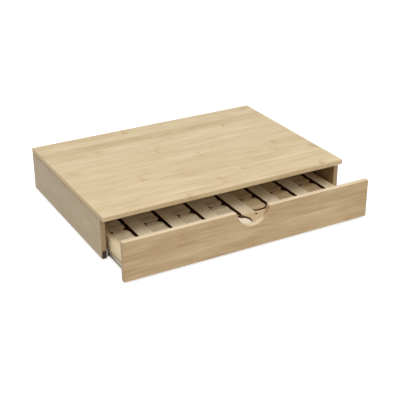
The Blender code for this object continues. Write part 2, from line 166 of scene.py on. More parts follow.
# %% [markdown]
# The patterns also need places, noise and colours. One Mix node serves numbers, vectors
# and colours, with a set of sockets for each, so its colour sockets go by their position.

# %% Helpers: places, noise and colours
MIX_SHARE = 0
MIX_FIRST = 6
MIX_SECOND = 7
MIX_COLOR = 2


def split(tree, vector):
    """The X, Y and Z of a vector."""
    return add(tree, "ShaderNodeSeparateXYZ", {0: vector}).outputs


def join(tree, x, y, z):
    """A vector from three values."""
    return add(tree, "ShaderNodeCombineXYZ", {0: x, 1: y, 2: z}).outputs[0]


def stretch(tree, vector, factors):
    """A vector with each part multiplied by its own factor."""
    return add(tree, "ShaderNodeVectorMath", {0: vector, 1: factors}, operation="MULTIPLY").outputs[0]


def noise(tree, place, scale=1.0, detail=2.0, roughness=0.5):
    """Soft noise from 0 to 1, with as many blotches to a unit of the place as the scale."""
    inputs = {"Vector": place, "Scale": scale, "Detail": detail, "Roughness": roughness}
    return add(tree, "ShaderNodeTexNoise", inputs).outputs["Fac"]


def blend(tree, share, first, second, **fields):
    """Mix two colours by a share."""
    inputs = {MIX_SHARE: share, MIX_FIRST: first, MIX_SECOND: second}
    return add(tree, "ShaderNodeMix", inputs, data_type="RGBA", **fields).outputs[MIX_COLOR]


def srgb(red, green, blue):
    """A colour as a picture shows it, from 0 to 255, turned into the shader's scale."""
    parts = [value / 255 for value in (red, green, blue)]
    parts = [v / 12.92 if v <= 0.04045 else ((v + 0.055) / 1.055) ** 2.4 for v in parts]
    return (*parts, 1.0)


print("noise and colours ready")

# %% [markdown]
# A node group is built once and placed in many materials. Its sockets are named for what
# they carry, and most inputs have a starting value that a material may replace.

# %% Helpers: groups and materials
FLOAT = "NodeSocketFloat"
COLOR = "NodeSocketColor"
VECTOR = "NodeSocketVector"


def new_group(name, inputs, outputs):
    """A node group with named sockets. Gives the group, what comes in and what goes out."""
    group = bpy.data.node_groups.new(name, "ShaderNodeTree")
    for label, (kind, value) in inputs.items():
        socket = group.interface.new_socket(name=label, in_out="INPUT", socket_type=kind)
        if value is not None:
            socket.default_value = value
    for label, kind in outputs.items():
        group.interface.new_socket(name=label, in_out="OUTPUT", socket_type=kind)
    entry = group.nodes.new("NodeGroupInput").outputs
    leave = group.nodes.new("NodeGroupOutput").inputs
    return group, entry, leave


def use_group(tree, group, **inputs):
    """Place a node group in a material. Spaces in socket names are written as _."""
    named = {name.replace("_", " "): value for name, value in inputs.items()}
    return add(tree, "ShaderNodeGroup", named, node_tree=group).outputs


def new_material(name):
    """A material, its node tree and the inputs of its surface shader."""
    material = bpy.data.materials.new(name)
    material.use_nodes = True
    tree = material.node_tree
    return material, tree, tree.nodes["Principled BSDF"].inputs


def emboss(tree, surface, height, depth, strength):
    """Let a height tilt the surface's normal. The depth is in metres."""
    inputs = {"Height": height, "Distance": depth, "Strength": strength}
    feed(tree, surface["Normal"], add(tree, "ShaderNodeBump", inputs).outputs[0])


print("groups and materials ready")

# %% [markdown]
# Laminated bamboo is split canes, planed into strips and glued side by side. Each strip
# keeps its own tone and shows long fine fibres. An image would repeat and needs
# unwrapping. So the pattern is worked out from the place on the board: X runs along the
# grain, Y across the strips, and floor() of Y over the strip width gives each strip a
# number to draw from.

# %% Strips of bamboo


def strip_number(group, given, y):
    """Y counted in strips. Its whole part is the strip, its fraction the place across it."""
    return total(group, calc(group, "DIVIDE", y, given["Strip Width"]), given["Seed"])


def strip_seams(group, number, share):
    """1 where two strips meet, 0 elsewhere. The share is how much of a strip it reaches in."""
    from_middle = calc(group, "ABSOLUTE", centred(group, calc(group, "FRACT", number)))
    return ramp(group, from_middle, 0.5 - share, 0.5)


print("strips ready")

# %% [markdown]
# Every 20 to 30 cm a knuckle crosses the strip, where the cane had a joint: a thin brown
# line with a stain behind it. Drawn evenly on all strips it would look printed. So the
# line wanders, noise breaks it up, and a number drawn for each knuckle makes some bold
# and some faint.

# %% Knuckles
KNUCKLE_WANDER = 0.012             # metres along the grain, as are the next three
KNUCKLE_LINE = (0.0003, 0.0020)    # full up to the first, gone from the second on
STAIN_RISE = (-0.0025, 0.0005)
STAIN_FALL = (0.002, 0.017)


def knuckles(group, given, x, y, draw, streaks):
    """A mask of the knuckles. The last two inputs are functions of the bamboo group."""
    spacing = given["Knuckle Spacing"]
    wander = noise(group, join(group, draw(3.1), product(group, y, 110.0), 0.0))
    along = total(group, x, product(group, wander, KNUCKLE_WANDER))
    turns = total(group, calc(group, "DIVIDE", along, spacing), draw(12.9))
    off = product(group, centred(group, calc(group, "FRACT", turns)), spacing)
    line = fade(group, calc(group, "ABSOLUTE", off), *KNUCKLE_LINE)
    stain = product(group, ramp(group, off, *STAIN_RISE), fade(group, off, *STAIN_FALL))
    mottle = ramp(group, streaks(along=150.0, sideways=420.0, offset=4.4), -0.10, 0.12)
    patches = ramp(group, streaks(along=60.0, sideways=150.0, offset=6.6, detail=1.0), -0.12, 0.10)
    bold = ramp(group, draw(15.3, calc(group, "FLOOR", turns)), 0.05, 0.9, 0.25, 1.0)
    return product(
        group,
        weighted(group, (line, 0.50), (stain, 0.55)),
        total(group, product(group, mottle, 0.6), 0.4),
        patches,
        product(group, bold, given["Knuckle Strength"]),
    )


print("knuckles wander by up to", 1000 * KNUCKLE_WANDER, "mm")

# %% [markdown]
# The whole pattern mixes a light and a dark colour. The share of the dark one is the
# strip's tone, plus soft clouds, plus grain and fibres at two finer sizes. Fibres, bundles
# of fibres, seams and knuckles also shape the height, and the first two the roughness, so
# that the gloss follows what the eye sees.

# %% Node group: laminated bamboo
NO_STRIP = -1000.0            # the number of a strip that no board has
SEAM_REACH = 0.010            # as a share of the strip's width
STEP_APART = 3.7              # keeps the draws of two knuckles on a strip apart
STREAK_SHIFT = 91.0           # keeps the noise of two strips apart
BASE_ROUGHNESS = 0.46
LOWEST_SHARE = -0.2
HIGHEST_SHARE = 1.4


def make_bamboo_group():
    """Colour, height and roughness of laminated bamboo, from a place in metres."""
    group, given, result = new_group(
        "laminated_bamboo",
        {
            "Place": (VECTOR, None),
            "Light": (COLOR, srgb(226, 207, 170)),
            "Dark": (COLOR, srgb(206, 184, 142)),
            "Knuckle": (COLOR, srgb(174, 122, 70)),
            "Strip Width": (FLOAT, 0.0204),
            "Dark Strip": (FLOAT, NO_STRIP),
            "Knuckle Spacing": (FLOAT, 0.23),
            "Strip Contrast": (FLOAT, 0.5),
            "Cloud Contrast": (FLOAT, 1.0),
            "Fibre Contrast": (FLOAT, 0.8),
            "Knuckle Strength": (FLOAT, 0.5),
            "Seed": (FLOAT, 0.0),
        },
        {"Color": COLOR, "Height": FLOAT, "Roughness": FLOAT},
    )
    x, y, z = split(group, given["Place"])
    number = strip_number(group, given, y)
    strip = calc(group, "FLOOR", number)
    seam = strip_seams(group, number, SEAM_REACH)

    def draw(offset, step=0.0):
        """A number from 0 to 1 that belongs to this strip, or to one step along it.

        Any offset will do, as long as no other draw has it.
        """
        w = total(group, strip, given["Seed"], offset, product(group, step, STEP_APART))
        drawn = add(group, "ShaderNodeTexWhiteNoise", {"W": w}, noise_dimensions="1D")
        return drawn.outputs["Value"]

    def streaks(along, sideways, offset, detail=2.0):
        """Noise stretched along the grain, and broken at each strip. Its middle is at 0.

        Along and sideways are the number of its blotches in a metre.
        """
        shifted = weighted(group, (x, along), (draw(offset), STREAK_SHIFT))
        place = join(group, shifted, product(group, y, sideways), product(group, z, sideways))
        return centred(group, noise(group, place, detail=detail, roughness=0.6))

    tone = centred(group, draw(0.0))
    marked = calc(group, "COMPARE", strip, given["Dark Strip"])
    clouds = streaks(along=11.0, sideways=60.0, offset=7.3)
    grain = streaks(along=14.0, sideways=300.0, offset=5.1)
    fibres = streaks(along=28.0, sideways=1000.0, offset=2.9)
    bundles = ramp(group, streaks(along=55.0, sideways=2300.0, offset=9.7, detail=1.0), 0.10, 0.22)
    knuckle = knuckles(group, given, x, y, draw, streaks)

    share = weighted(
        group,
        (tone, given["Strip Contrast"]),
        (marked, 0.55),
        (clouds, given["Cloud Contrast"]),
        (weighted(group, (grain, 1.3), (fibres, 1.8)), given["Fibre Contrast"]),
    )
    share = calc(group, "MAXIMUM", total(group, share, 0.5), LOWEST_SHARE)
    share = calc(group, "MINIMUM", share, HIGHEST_SHARE)
    color = blend(group, share, given["Light"], given["Dark"], clamp_factor=False)
    thin = product(group, bundles, product(group, given["Fibre Contrast"], 0.22))
    for mask in (thin, knuckle, product(group, seam, 0.22)):
        color = blend(group, mask, color, given["Knuckle"])
    height = weighted(group, (fibres, 0.9), (bundles, -0.4), (seam, -0.8), (knuckle, 0.5))
    rough = total(group, product(group, fibres, 0.20), BASE_ROUGHNESS)
    rough = total(group, rough, product(group, bundles, 0.10))
    feed(group, result["Color"], color)
    feed(group, result["Height"], height)
    feed(group, result["Roughness"], rough)
    return group


bamboo_group = make_bamboo_group()
print("bamboo group:", len(bamboo_group.nodes), "nodes")

# %% [markdown]
# Where a saw has crossed the canes, the fibre bundles are cut through and show as dark
# dots, crowded towards the outside of the cane. A Voronoi pattern gives the dots, noise
# crowds them, and the seams between strips show here too.

# %% Node group: end grain
SAWN_SEAM_REACH = 0.015
DOTS_IN_A_METRE = 950.0
CROWDS_IN_A_METRE = 160.0


def make_end_grain_group():
    """Colour and height of bamboo sawn across its fibres."""
    group, given, result = new_group(
        "bamboo_end_grain",
        {
            "Place": (VECTOR, None),
            "Light": (COLOR, srgb(214, 188, 144)),
            "Dark": (COLOR, srgb(150, 112, 70)),
            "Strip Width": (FLOAT, 0.020),
            "Seed": (FLOAT, 0.0),
        },
        {"Color": COLOR, "Height": FLOAT},
    )
    _, y, z = split(group, given["Place"])
    seam = strip_seams(group, strip_number(group, given, y), SAWN_SEAM_REACH)
    flat = join(group, 0.0, y, z)
    cells = add(group, "ShaderNodeTexVoronoi", {"Vector": flat, "Scale": DOTS_IN_A_METRE})
    crowd = noise(group, flat, CROWDS_IN_A_METRE)
    dots = fade(group, cells.outputs["Distance"], 0.10, 0.34)
    dots = product(group, dots, ramp(group, crowd, 0.35, 0.65))
    share = weighted(group, (dots, 0.75), (seam, 0.5))
    tint = total(group, share, product(group, crowd, 0.35))
    color = blend(group, calc(group, "MINIMUM", tint, 1.0), given["Light"], given["Dark"])
    feed(group, result["Color"], color)
    feed(group, result["Height"], product(group, share, -0.6))
    return group


end_grain_group = make_end_grain_group()
print("end grain group:", len(end_grain_group.nodes), "nodes")

# %% [markdown]
# Hands and cloths polish the arrises of a board and leave them a little paler, in an
# uneven line. Painting that by hand would take a map for every board. The Bevel node
# gives the normal of a rounded copy of the surface instead. Where it leans away from the
# true normal there is an edge, and noise breaks it up.

# %% Node group: edge wear
BEVEL_SAMPLES = 4
EDGE_LEAN = (0.70, 0.99)      # the cosine of the lean, on an edge and on a flat face


def make_edge_group():
    """A mask of the worn edges, 0 on flat faces."""
    group, given, result = new_group(
        "edge_wear",
        {"Place": (VECTOR, None), "Width": (FLOAT, 0.0012), "Breakup": (FLOAT, 0.6)},
        {"Mask": FLOAT},
    )
    rounded = add(group, "ShaderNodeBevel", {"Radius": given["Width"]}, samples=BEVEL_SAMPLES)
    normals = {0: rounded.outputs[0], 1: add(group, "ShaderNodeNewGeometry").outputs["Normal"]}
    lean = add(group, "ShaderNodeVectorMath", normals, operation="DOT_PRODUCT").outputs["Value"]
    edge = fade(group, lean, *EDGE_LEAN)
    broken = ramp(group, noise(group, given["Place"], 210.0, 3.0), 0.35, 0.65)
    kept = calc(group, "SUBTRACT", 1.0, product(group, given["Breakup"], broken))
    feed(group, result["Mask"], product(group, edge, kept))
    return group


edge_group = make_edge_group()
print("edge group:", len(edge_group.nodes), "nodes")

# %% [markdown]
# The rack is cut from bamboo sheet with a laser, which chars every wall that it cuts. The
# slats' ends are glued to the rails and stay clean. A mask could be painted for them, but
# the slats stand at an even pitch, so their ends are found by counting from the first.

# %% Where the slats are glued
SLATS = [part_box(f"rack_slat_{number}") for number in (1, 2)]
SLAT_LEFT = SLATS[0][0][0]
SLAT_SPAN = SLATS[0][1][0] - SLAT_LEFT
SLAT_PITCH = SLATS[1][0][0] - SLAT_LEFT
SLAT_ENDS = (SLATS[0][0][1], SLATS[0][1][1])
GLUE_REACH = 0.0012           # metres to either side of the joint


def glued_ends(tree, x, y):
    """1 close to where a slat's end meets a rail, 0 elsewhere."""
    phase = calc(tree, "FLOORED_MODULO", calc(tree, "SUBTRACT", x, SLAT_LEFT), SLAT_PITCH)
    on_slat = calc(tree, "LESS_THAN", phase, SLAT_SPAN)
    near = [calc(tree, "COMPARE", y, end, GLUE_REACH) for end in SLAT_ENDS]
    return product(tree, on_slat, calc(tree, "MAXIMUM", *near))


print("slats every", round(1000 * SLAT_PITCH, 1), "mm")

# %% [markdown]
# The laser also toasts the arrises. The floor of the finger recess is bare, pale wood, and
# it is painted paler still where it looks up, as a painted highlight. None of this needs a
# painted mask either: a wall is where the normal lies level, and the recess is the rails'
# only face that looks up from below their top. The lines across the seat strips are cut
# fast and only turn brown, and the strips' ends come out between brown and black.

# %% Node group: laser-cut bamboo
SEATS_FROM, SEATS_TO = (corner[1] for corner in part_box("seat_strip_2"))
SEATS_MIDDLE = (SEATS_FROM + SEATS_TO) / 2
STRIP_END = (0.008, 0.010)              # metres from the end of a seat strip
BEAM_LINES = (1500.0, 1500.0, 90.0)     # fine across a wall and long down it
WALL = (0.30, 0.93)                     # how far a normal points up or down
LOOKS_UP = (0.6, 0.9)
LOOKS_FRONT = (0.45, 0.85)
CHAR_TONES = (srgb(52, 31, 14), srgb(100, 61, 31))
QUICK_CHAR = srgb(146, 104, 64)
TOASTED = srgb(120, 84, 50)


def make_laser_group():
    """Char the walls of a laser-cut piece. Gives its colour and how burnt it is."""
    group, given, result = new_group(
        "laser_cut",
        {
            "Place": (VECTOR, None),
            "Normal": (VECTOR, None),
            "Color": (COLOR, None),
            "Scorch": (FLOAT, 0.0),
            "Quick Cut": (FLOAT, 0.0),
            "Floor Below": (FLOAT, -1.0),
            # Near white: bare pale wood plus a painted highlight.
            "Floor Color": (COLOR, srgb(255, 242, 219)),
        },
        {"Color": COLOR, "Burn": FLOAT},
    )
    x, y, z = split(group, given["Place"])
    _, facing_front, facing_up = split(group, given["Normal"])
    clean = calc(group, "SUBTRACT", 1.0, glued_ends(group, x, y))
    wall = fade(group, calc(group, "ABSOLUTE", facing_up), *WALL)
    burn = product(group, wall, clean)

    beam = noise(group, stretch(group, given["Place"], BEAM_LINES))
    char = blend(group, ramp(group, beam, 0.35, 0.68), *CHAR_TONES)
    from_middle = calc(group, "ABSOLUTE", calc(group, "SUBTRACT", y, SEATS_MIDDLE))
    from_ends = calc(group, "SUBTRACT", (SEATS_TO - SEATS_FROM) / 2, from_middle)
    inner = ramp(group, from_ends, *STRIP_END, 0.4, 1.0)
    across = ramp(group, calc(group, "ABSOLUTE", facing_front), *LOOKS_FRONT)
    char = blend(group, product(group, given["Quick Cut"], inner, across), char, QUICK_CHAR)

    flecks = ramp(group, noise(group, given["Place"], 500.0), 0.30, 0.70, 0.3, 1.0)
    toast = product(group, given["Scorch"], flecks, clean)
    color = blend(group, toast, given["Color"], TOASTED)
    # Painted highlight: faces that look up below the floor height, the recess floor, turn near white.
    looks_up = ramp(group, facing_up, *LOOKS_UP, 0.0, 0.8)
    sunk = product(group, looks_up, calc(group, "LESS_THAN", z, given["Floor Below"]))
    color = blend(group, sunk, color, given["Floor Color"])
    feed(group, result["Color"], blend(group, burn, color, char))
    feed(group, result["Burn"], burn)
    return group


laser_group = make_laser_group()
print("laser group:", len(laser_group.nodes), "nodes")

# %% [markdown]
# A board can be sawn or laser-cut. A sawn one shows its end grain where it looks along
# its grain, and its arrises are polished pale. Some also have painted light or painted
# shade on the faces that look up or inwards. A laser-cut one hands its colour to the
# laser group.

# %% Sawn and laser-cut faces
LOOKS_ALONG = (0.72, 0.86)    # how far a normal points along the grain
INWARD = -0.1                 # X of the normal times X of the place, in metres
# Pale of polished arrises, which is wear; on the drawer front's upper faces it is a painted
# highlight.
WORN_EDGE_AND_HIGHLIGHT = srgb(238, 222, 190)
WORN_SHARE = 0.30
# Shares of the painted light and shade on the upper and the inner faces.
TOP_SHARE = 0.5
INSIDE_SHARE = 0.33


def sawn_faces(tree, spots, board, ends, worn, grain, top, inside):
    """Colour, height and roughness of a sawn board, from those of its pattern and its ends.

    It can take some of another colour where it looks up (top): painted light on the drawer
    front's upper faces, painted shade on those of the drawer's box and its panel. It can
    take some of a third where it looks towards the middle of the unit (inside): painted shade.
    """
    normal = split(tree, spots["Normal"])
    end = ramp(tree, calc(tree, "ABSOLUTE", normal[grain]), *LOOKS_ALONG)
    color = blend(tree, end, board["Color"], ends["Color"])
    color = blend(tree, product(tree, worn, WORN_SHARE), color, WORN_EDGE_AND_HIGHLIGHT)
    # Painted highlight or painted shade on the faces that look up, as each board is given.
    if top is not None:
        looks_up = ramp(tree, normal["Z"], *LOOKS_UP)
        color = blend(tree, product(tree, looks_up, TOP_SHARE), color, top)
    # Painted shade on the faces that look towards the middle of the unit.
    if inside is not None:
        outward = product(tree, normal["X"], split(tree, spots["Object"])["X"])
        looks_in = calc(tree, "LESS_THAN", outward, INWARD)
        color = blend(tree, product(tree, looks_in, INSIDE_SHARE), color, inside)
    height = blend(tree, end, board["Height"], ends["Height"])
    rough = calc(tree, "SUBTRACT", board["Roughness"], product(tree, worn, 0.06))
    return color, height, rough


def laser_faces(tree, spots, board, worn, scorch, laser):
    """The same for a laser-cut board. Scorch is how much its arrises are toasted."""
    cut = use_group(
        tree,
        laser_group,
        Place=spots["Object"],
        Normal=spots["Normal"],
        Color=board["Color"],
        Scorch=product(tree, worn, scorch),
        **laser,
    )
    rough = total(tree, board["Roughness"], product(tree, cut["Burn"], 0.25))
    return cut["Color"], board["Height"], rough


print("board faces: sawn, laser-cut")

# %% [markdown]
# One function turns the groups into a finished board material. It is told which way the
# grain runs and which way the strips are stacked, so the same bamboo can lie flat on the
# top, stand in the drawer front or run from front to back in the sides. A thin satin
# lacquer is the shader's coat.

# %% Material: bamboo boards
FIBRE_DEPTH = 0.00006
SPECULAR = 0.30
COAT_ROUGHNESS = 0.32


def bamboo_material(
    name, grain, across, tones, seed,
    lacquer=0.10, laser=None, scorch=0.45, top=None, inside=None, ends=None, **pattern,
):
    """A bamboo board in two tones, with its grain along one axis and its strips along another.

    A sawn board's ends are dark or have a colour of their own (ends). A laser-cut one is
    told what its group needs (laser). The pattern is what else the bamboo group needs.
    """
    material, tree, surface = new_material(name)
    light, dark = tones
    spots = add(tree, "ShaderNodeTexCoord").outputs
    parts = split(tree, spots["Object"])
    through = next(axis for axis in "XYZ" if axis not in (grain, across))
    place = join(tree, *[parts[axis] for axis in (grain, across, through)])
    pattern.update(Place=place, Light=light, Dark=dark, Seed=seed)
    board = use_group(tree, bamboo_group, **pattern)
    worn = use_group(tree, edge_group, Place=spots["Object"])["Mask"]
    if laser is None:
        sawn = use_group(tree, end_grain_group, Place=place, Light=ends or dark, Seed=seed)
        look = sawn_faces(tree, spots, board, sawn, worn, grain, top, inside)
    else:
        look = laser_faces(tree, spots, board, worn, scorch, laser)
    color, height, rough = look
    feed(tree, surface["Base Color"], color)
    feed(tree, surface["Roughness"], rough)
    emboss(tree, surface, height, FIBRE_DEPTH, 0.6)
    surface["Specular IOR Level"].default_value = SPECULAR
    surface["Coat Weight"].default_value = lacquer
    surface["Coat Roughness"].default_value = COAT_ROUGHNESS
    material.diffuse_color = light
    return material


print("board material ready")

# %% [markdown]
# The unit is cut from several kinds of sheet: pale for the top and the back, greyer and
# darker for the case's sides, where part of the darkness is painted shade, browner for the
# drawer's front, and almost white for the drawer's box. One strip of the top is darker than
# the others. The inner faces of the case's sides and the top faces of the drawer's sides
# are painted browner, as painted shade. The bearers and the panel's upper face are painted
# brown as painted shade, which keeps the rack's slots dark. The drawer front's upper faces
# take a painted highlight. The seed moves the pattern along, so no two kinds of board look
# alike.

# %% Materials of the boards
CASE_TONES = (srgb(220, 199, 160), srgb(197, 173, 129))
FRONT_TONES = (srgb(206, 180, 140), srgb(179, 150, 108))
# A darker, greyer sheet for the case's sides; part of that darkness is painted shade.
SIDE_TONES = (srgb(184, 163, 128), srgb(165, 142, 105))
SIDE_END = srgb(178, 155, 119)
CREAM_TONES = (srgb(254, 236, 202), srgb(248, 226, 184))
# Painted shade: the brown of the bearers and of the panel's upper face, under the rack's slots.
SHADE_BROWN_TONES = (srgb(150, 114, 74), srgb(122, 90, 56))
# Painted shade for the top faces of the drawer's sides.
SHADED_DRAWER_TOP = srgb(196, 168, 124)
# Painted shade for the inner faces of the case's sides.
SHADED_INNER_WALL = srgb(142, 104, 58)

top_bamboo = bamboo_material(
    "top_bamboo", "X", "Y", CASE_TONES, 3.456,
    Dark_Strip=9.0, Cloud_Contrast=1.7, Fibre_Contrast=0.75, Knuckle_Strength=0.9,
)
# The sides: darker tones, partly painted shade, and painted shade on the inner faces.
side_bamboo = bamboo_material(
    "side_bamboo", "Y", "Z", SIDE_TONES, 11.0,
    inside=SHADED_INNER_WALL, ends=SIDE_END, Strip_Contrast=0.3,
)
# Painted highlight: the front's upper faces take the pale edge colour (top).
front_bamboo = bamboo_material(
    "front_bamboo", "X", "Z", FRONT_TONES, 28.3, top=WORN_EDGE_AND_HIGHLIGHT,
    Strip_Contrast=0.25, Cloud_Contrast=2.2, Fibre_Contrast=0.85, Knuckle_Strength=0.6,
)
back_bamboo = bamboo_material("back_bamboo", "X", "Z", CASE_TONES, 19.0)
# Painted shade on the top faces of the drawer's sides (top).
drawer_bamboo = bamboo_material("drawer_bamboo", "Y", "Z", CREAM_TONES, 35.0, top=SHADED_DRAWER_TOP)
cross_bamboo = bamboo_material("cross_bamboo", "X", "Z", CREAM_TONES, 41.0)
# Painted shade: the panel's upper face and the bearers are brown, which keeps the slots dark.
panel_bamboo = bamboo_material("panel_bamboo", "X", "Y", CASE_TONES, 47.0, top=SHADE_BROWN_TONES[1])
bearer_bamboo = bamboo_material("bearer_bamboo", "X", "Z", SHADE_BROWN_TONES, 67.0)
print("boards: top, side, front, back, drawer, cross, panel, bearer")

# %% [markdown]
# The rack takes the laser group. Its slats and seats run from front to back and its rails
# run across, so their strips are stacked along X and Y. Only the rails hold the floor of
# the finger recess, so only they are told how far down it lies. The seats are the most
# toasted, because the beam went round every one of them, and the three strips on the
# right are cut from a browner sheet than the others.

# %% Materials of the rack
SLAT_TONES = (srgb(229, 213, 183), srgb(211, 194, 160))
RAIL_TONES = (srgb(216, 192, 154), srgb(196, 168, 126))
SEAT_TONES = (srgb(221, 205, 175), srgb(203, 184, 151))
BROWN_SEAT_TONES = (srgb(201, 179, 142), srgb(184, 159, 120))
RACK_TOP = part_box("rack_slat_1")[1][2]
RECESS_DEPTH = 0.002
RECESS_ONLY = {"Floor_Below": RACK_TOP - RECESS_DEPTH}
SEAT_FINISH = {"lacquer": 0.05, "laser": {"Quick_Cut": 0.9}, "scorch": 0.7}

rack_bamboo = bamboo_material("rack_bamboo", "Y", "X", SLAT_TONES, 53.0, laser={})
rail_bamboo = bamboo_material("rail_bamboo", "X", "Y", RAIL_TONES, 59.0, laser=RECESS_ONLY)
seat_bamboo = bamboo_material("seat_bamboo", "Y", "X", SEAT_TONES, 61.0, **SEAT_FINISH)
brown_seat_bamboo = bamboo_material(
    "brown_seat_bamboo", "Y", "X", BROWN_SEAT_TONES, 71.0, **SEAT_FINISH,
)
print("rack's top at", round(1000 * RACK_TOP, 1), "mm")

# %% [markdown]
# The feet and the two bumpers on the case's front edges are die-cut from black rubber
# sheet. Rubber is matt, faintly mottled where it was pressed, and paler at its cut edges.

# %% Material: black rubber
RUBBER_TONES = (srgb(42, 37, 28), srgb(58, 51, 39))
RUBBER_EDGE = srgb(84, 76, 60)
MOULD_DEPTH = 0.00005


def rubber_material():
    """Matt black rubber with a fine moulded grain."""
    material, tree, surface = new_material("black_rubber")
    place = add(tree, "ShaderNodeTexCoord").outputs["Object"]
    bloom = noise(tree, place, 180.0, 3.0)
    worn = use_group(tree, edge_group, Place=place, Width=0.0006)["Mask"]
    color = blend(tree, ramp(tree, bloom, 0.3, 0.7), *RUBBER_TONES)
    color = blend(tree, product(tree, worn, 0.5), color, RUBBER_EDGE)
    feed(tree, surface["Base Color"], color)
    feed(tree, surface["Roughness"], ramp(tree, bloom, 0.2, 0.8, 0.72, 0.88))
    emboss(tree, surface, noise(tree, place, 2400.0), MOULD_DEPTH, 0.5)
    return material


rubber = rubber_material()
print("rubber made")

# %% [markdown]
# The slides are rolled from zinc-plated strip. Rolling leaves long fine lines along the
# rail, and the plating has soft cloudy spangles that change the gloss more than the
# colour. The lines are noise stretched along Y, which the roughness and the bump share.

# %% Material: zinc-plated steel
ROLLED_LINES = (2600.0, 18.0, 2600.0)
ROLLED_DEPTH = 0.00002
PLATED_EDGE = srgb(232, 230, 224)


def plated_material(name, tones, roughness):
    """Rolled, plated steel, with drawn lines along Y and cloudy plating."""
    material, tree, surface = new_material(name)
    place = add(tree, "ShaderNodeTexCoord").outputs["Object"]
    lines = noise(tree, stretch(tree, place, ROLLED_LINES))
    cloud = noise(tree, place, 120.0, 4.0)
    worn = use_group(tree, edge_group, Place=place, Width=0.0003)["Mask"]
    color = blend(tree, ramp(tree, cloud, 0.3, 0.7), *tones)
    color = blend(tree, product(tree, worn, 0.4), color, PLATED_EDGE)
    drawn = product(tree, centred(tree, lines), 0.20)
    feed(tree, surface["Base Color"], color)
    feed(tree, surface["Roughness"], total(tree, drawn, roughness, product(tree, cloud, 0.10)))
    surface["Metallic"].default_value = 1.0
    emboss(tree, surface, lines, ROLLED_DEPTH, 0.4)
    return material


rail_steel = plated_material("rail_steel", (srgb(208, 203, 192), srgb(188, 183, 172)), 0.42)
cage_zinc = plated_material("cage_zinc", (srgb(212, 211, 205), srgb(192, 191, 184)), 0.32)
print("metals: rail_steel, cage_zinc")

# %% [markdown]
# Each solid already has a material slot, so dressing it means putting the right finish
# into that slot. The table says which finish each solid takes, by the start of its name.
# The first line that fits counts, so the browner seat strips stand before the others.

# %% Dress the solids
FINISHES = {
    "top_panel": top_bamboo,
    "left_side_panel": side_bamboo,
    "right_side_panel": side_bamboo,
    "back_panel": back_bamboo,
    "drawer_front": front_bamboo,
    "drawer_side": drawer_bamboo,
    "drawer_back": cross_bamboo,
    "drawer_bottom": panel_bamboo,
    "rack_bearer": bearer_bamboo,
    "rack_rail": rail_bamboo,
    "rack_slat": rack_bamboo,
    "seat_strip_5": brown_seat_bamboo,
    "seat_strip_6": brown_seat_bamboo,
    "seat_strip_7": brown_seat_bamboo,
    "seat_strip": seat_bamboo,
    "foot": rubber,
    "bumper": rubber,
    "cabinet_rail": rail_steel,
    "drawer_rail": rail_steel,
    "ball_cage": cage_zinc,
}


def dress(obj, material):
    """Put one material into every slot of an object."""
    if not obj.material_slots:
        obj.data.materials.append(material)
    for held in obj.material_slots:
        held.material = material


for name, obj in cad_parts.items():
    finish = next(material for start, material in FINISHES.items() if name.startswith(start))
    dress(obj, finish)
print("dressed", len(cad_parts), "solids")

# %% [markdown]
# Small fasteners are turned parts, so one outline spun round its axis makes each of them.
# A plain cylinder would have neither the point, the taper nor the domed head.

# %% Turned shapes
TURNED_STEPS = 16


def turned(shape, outline, at):
    """Spin an outline of (radius, height) pairs in millimetres into a solid at a place."""
    rings = []
    for radius, height in outline:
        ring = []
        for step in range(TURNED_STEPS if radius else 1):
            angle = 2 * math.pi * step / TURNED_STEPS
            spot = Vector((radius * math.cos(angle), radius * math.sin(angle), height)) / 1000
            ring.append(shape.verts.new(at @ spot))
        rings.append(ring)
    for low, high in zip(rings, rings[1:]):
        for step in range(TURNED_STEPS):
            after = step + 1
            corners = (
                low[step % len(low)], low[after % len(low)],
                high[after % len(high)], high[step % len(high)],
            )
            shape.faces.new(list(dict.fromkeys(corners)))


def mesh_object(name, shape, material):
    """Link an object made from a bmesh."""
    bmesh.ops.recalc_face_normals(shape, faces=shape.faces)
    mesh = bpy.data.meshes.new(name)
    shape.to_mesh(mesh)
    shape.free()
    mesh.materials.append(material)
    return place_in_scene(name, mesh)


print("turning with", TURNED_STEPS, "steps")

# %% [markdown]
# The recess of a screw is cut after the head is turned: a plus-shaped punch that narrows
# as it goes down. Modelling it into every head would be slow, so one Boolean takes the
# punches out of all the heads of a set.

# %% Cross recesses
ARM_SHARE = 0.27
PUNCH_TAPER = 0.35


def punch(shape, reach, top, bottom, at):
    """A plus-shaped punch that narrows downwards, in millimetres."""
    arm = ARM_SHARE * reach
    quarter = [(arm, arm), (arm, reach), (-arm, reach)]
    plus = []
    for _ in range(4):
        plus += quarter
        quarter = [(-y, x) for x, y in quarter]
    rings = []
    for height, share in ((bottom, PUNCH_TAPER), (top, 1.0)):
        spots = [Vector((x * share, y * share, height)) / 1000 for x, y in plus]
        rings.append([shape.verts.new(at @ spot) for spot in spots])
    low, high = rings
    shape.faces.new(reversed(low))
    shape.faces.new(high)
    for step in range(len(plus)):
        after = (step + 1) % len(plus)
        shape.faces.new((low[step], low[after], high[after], high[step]))


def cut_recesses(piece, places, recess, material):
    """Take a punch out of a piece at every place."""
    shape = bmesh.new()
    for at in places:
        punch(shape, *recess, at)
    cutter = mesh_object(piece.name + "_punch", shape, material)
    cut = piece.modifiers.new("recess", "BOOLEAN")
    cut.object = cutter
    cut.solver = "EXACT"
    graph = bpy.context.evaluated_depsgraph_get()
    mesh = bpy.data.meshes.new_from_object(piece.evaluated_get(graph))
    piece.modifiers.clear()
    piece.data = mesh
    bpy.data.objects.remove(cutter, do_unlink=True)


print("the punch's foot is", PUNCH_TAPER, "of its top")

# %% [markdown]
# All fasteners of one kind are made as one piece, which rides on the body that they are
# driven into. Round sides are shaded smooth, and the angle keeps the rims of the heads
# and the edges of the recess crisp.

